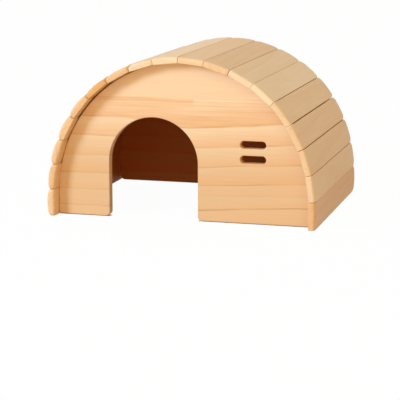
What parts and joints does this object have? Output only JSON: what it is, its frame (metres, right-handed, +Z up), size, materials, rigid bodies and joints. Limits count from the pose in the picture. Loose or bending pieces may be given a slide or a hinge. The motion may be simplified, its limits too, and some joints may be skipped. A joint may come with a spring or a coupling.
{
  "type": "hamster hideout",
  "caption": "Arched pine hideout for a hamster: slats laid side by side over end panels, an off-centre arched doorway and vent slots, open underneath.",
  "frame": {"origin": "centre of the footprint, on the floor the hideout stands on", "axes": "+X across the front to the viewer's right, +Y from the doorway to the rear, +Z up"},
  "size_m": [0.2014, 0.1624, 0.1205],
  "materials": {
    "pine_panel": "bare pine, planed and sanded, grain across the panel",
    "pine_slat": "bare pine, planed and sanded, grain along the slat",
    "pin_steel": "plain wire"
  },
  "bodies": {
    "root": {"front_panel": "pine_panel", "rear_panel": "pine_panel", "roof_slat_01": "pine_slat", "roof_slat_02": "pine_slat", "roof_slat_03": "pine_slat", "roof_slat_04": "pine_slat", "roof_slat_05": "pine_slat", "roof_slat_06": "pine_slat", "roof_slat_07": "pine_slat", "roof_slat_08": "pine_slat", "roof_slat_09": "pine_slat", "roof_slat_10": "pine_slat", "roof_slat_11": "pine_slat", "roof_slat_12": "pine_slat", "roof_slat_13": "pine_slat", "roof_slat_14": "pine_slat", "roof_slat_15": "pine_slat", "roof_slat_16": "pine_slat", "roof_slat_17": "pine_slat", "roof_slat_18": "pine_slat", "front_slat_pins": "pin_steel", "rear_slat_pins": "pin_steel"}
  },
  "joints": []
}
